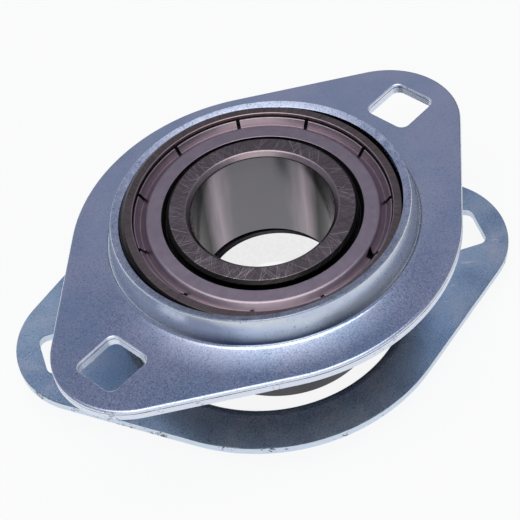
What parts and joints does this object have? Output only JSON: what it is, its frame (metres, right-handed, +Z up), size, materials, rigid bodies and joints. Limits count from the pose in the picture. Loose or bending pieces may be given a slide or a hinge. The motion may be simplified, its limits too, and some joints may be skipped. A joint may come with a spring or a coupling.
{
  "type": "flange bearing unit",
  "caption": "Pressed-steel flange unit: stamped lug plates with square bolt holes and drawn seats round a self-aligning ball insert with an eccentric locking collar.",
  "frame": {"origin": "centre of the insert's sphere, on the bore axis", "axes": "+Z up the bore out of the ground face, +X along the front half's bolt line"},
  "size_m": [0.0946, 0.0708, 0.0333],
  "materials": {
    "zinc_front": "bright zinc plate on pressed steel",
    "zinc_rear": "dulled zinc plate on pressed steel",
    "ground_steel": "ground bearing steel",
    "bright_steel": "bright steel",
    "shield_steel": "matt pressed steel",
    "rubber": "matt black rubber",
    "black_oxide": "black oxide on steel"
  },
  "bodies": {
    "front_flange": {"front_flange": "zinc_front"},
    "rear_flange": {"rear_flange": "zinc_rear"},
    "outer_ring": {"outer_ring": "ground_steel", "front_shield": "shield_steel", "rear_shield": "shield_steel", "front_seal": "rubber", "rear_seal": "rubber"},
    "inner_ring": {"inner_ring": "ground_steel"},
    "cage": {"cage_front": "bright_steel", "cage_rear": "bright_steel", "cage_rivets": "bright_steel"},
    "ball_1": {"ball_1": "bright_steel"},
    "ball_2": {"ball_2": "bright_steel"},
    "ball_3": {"ball_3": "bright_steel"},
    "ball_4": {"ball_4": "bright_steel"},
    "ball_5": {"ball_5": "bright_steel"},
    "ball_6": {"ball_6": "bright_steel"},
    "ball_7": {"ball_7": "bright_steel"},
    "ball_8": {"ball_8": "bright_steel"},
    "ball_9": {"ball_9": "bright_steel"},
    "locking_collar": {"locking_collar": "black_oxide"},
    "set_screw": {"set_screw": "black_oxide"}
  },
  "joints": [
    {"name": "self_align", "type": "hinge", "parent": "front_flange", "child": "outer_ring", "pos_m": [0, 0, 0], "axis": [1, 0, 0], "range_deg": [-6.25, 0.75]},
    {"name": "rear_half_slide", "type": "slide", "parent": "front_flange", "child": "rear_flange", "axis": [0.0511, -0.0639, 0.9966], "range_m": [-0.025, 0.0125]},
    {"name": "inner_spin", "type": "hinge", "parent": "outer_ring", "child": "inner_ring", "pos_m": [0, 0, 0], "axis": [0, 0, 1], "continuous": true},
    {"name": "cage_spin", "type": "hinge", "parent": "outer_ring", "child": "cage", "pos_m": [0, 0, 0], "axis": [0, 0, 1], "continuous": true},
    {"name": "ball_1_spin", "type": "hinge", "parent": "cage", "child": "ball_1", "pos_m": [0.01951, 0, 0], "axis": [0, 0, 1], "continuous": true},
    {"name": "ball_2_spin", "type": "hinge", "parent": "cage", "child": "ball_2", "pos_m": [0.01495, 0.01254, 0], "axis": [0, 0, 1], "continuous": true},
    {"name": "ball_3_spin", "type": "hinge", "parent": "cage", "child": "ball_3", "pos_m": [0.00339, 0.01921, 0], "axis": [0, 0, 1], "continuous": true},
    {"name": "ball_4_spin", "type": "hinge", "parent": "cage", "child": "ball_4", "pos_m": [-0.00975, 0.0169, 0], "axis": [0, 0, 1], "continuous": true},
    {"name": "ball_5_spin", "type": "hinge", "parent": "cage", "child": "ball_5", "pos_m": [-0.01833, 0.00667, 0], "axis": [0, 0, 1], "continuous": true},
    {"name": "ball_6_spin", "type": "hinge", "parent": "cage", "child": "ball_6", "pos_m": [-0.01833, -0.00667, 0], "axis": [0, 0, 1], "continuous": true},
    {"name": "ball_7_spin", "type": "hinge", "parent": "cage", "child": "ball_7", "pos_m": [-0.00975, -0.0169, 0], "axis": [0, 0, 1], "continuous": true},
    {"name": "ball_8_spin", "type": "hinge", "parent": "cage", "child": "ball_8", "pos_m": [0.00339, -0.01921, 0], "axis": [0, 0, 1], "continuous": true},
    {"name": "ball_9_spin", "type": "hinge", "parent": "cage", "child": "ball_9", "pos_m": [0.01495, -0.01254, 0], "axis": [0, 0, 1], "continuous": true},
    {"name": "collar_turn", "type": "hinge", "parent": "inner_ring", "child": "locking_collar", "pos_m": [0.00079, 0.00013, -0.014], "axis": [0, 0, 1], "continuous": true},
    {"name": "set_screw_travel", "type": "slide", "parent": "locking_collar", "child": "set_screw", "axis": [0.9703, -0.2419, 0], "range_m": [-0.0005, 0.0015]}
  ],
  "couplings": [
    {"joint": "cage_spin", "follows": "inner_spin", "ratio": 0.39828},
    {"joint": "ball_1_spin", "follows": "inner_spin", "ratio": -2.3561},
    {"joint": "ball_2_spin", "follows": "inner_spin", "ratio": -2.3561},
    {"joint": "ball_3_spin", "follows": "inner_spin", "ratio": -2.3561},
    {"joint": "ball_4_spin", "follows": "inner_spin", "ratio": -2.3561},
    {"joint": "ball_5_spin", "follows": "inner_spin", "ratio": -2.3561},
    {"joint": "ball_6_spin", "follows": "inner_spin", "ratio": -2.3561},
    {"joint": "ball_7_spin", "follows": "inner_spin", "ratio": -2.3561},
    {"joint": "ball_8_spin", "follows": "inner_spin", "ratio": -2.3561},
    {"joint": "ball_9_spin", "follows": "inner_spin", "ratio": -2.3561}
  ]
}
